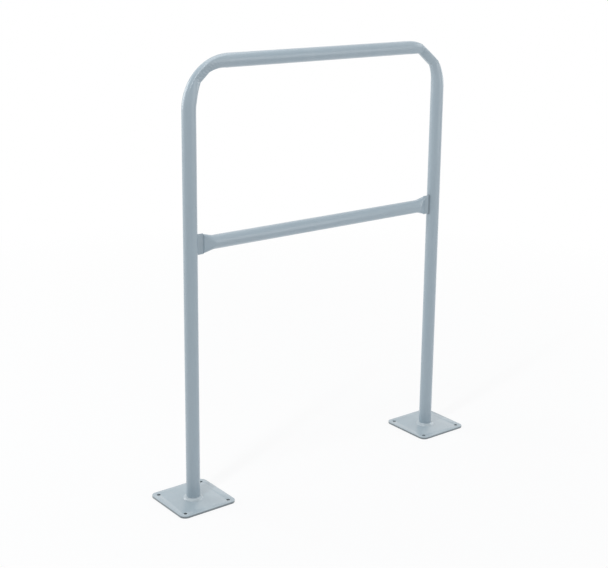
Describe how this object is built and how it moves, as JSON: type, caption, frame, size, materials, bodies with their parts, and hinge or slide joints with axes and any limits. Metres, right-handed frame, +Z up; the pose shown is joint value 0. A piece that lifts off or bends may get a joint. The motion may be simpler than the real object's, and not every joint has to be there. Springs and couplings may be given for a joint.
{
  "type": "industrial guard rail",
  "caption": "Floor-mounted steel guard rail: a bent tube hoop with a flattened-end mid rail and a square bolt-down plate welded under each post.",
  "frame": {"origin": "on the floor, under the middle of the rail, midway between the two posts", "axes": "+X along the rail, +Y across it, +Z up"},
  "size_m": [0.9144, 0.1524, 1.0668],
  "materials": {
    "rail_paint": "satin",
    "plate_paint": "satin"
  },
  "bodies": {
    "root": {"hoop_tube": "rail_paint", "mid_rail": "rail_paint", "left_base_plate": "plate_paint", "right_base_plate": "plate_paint", "left_foot_weld": "plate_paint", "right_foot_weld": "plate_paint", "left_rail_weld": "rail_paint", "right_rail_weld": "rail_paint"}
  },
  "joints": []
}
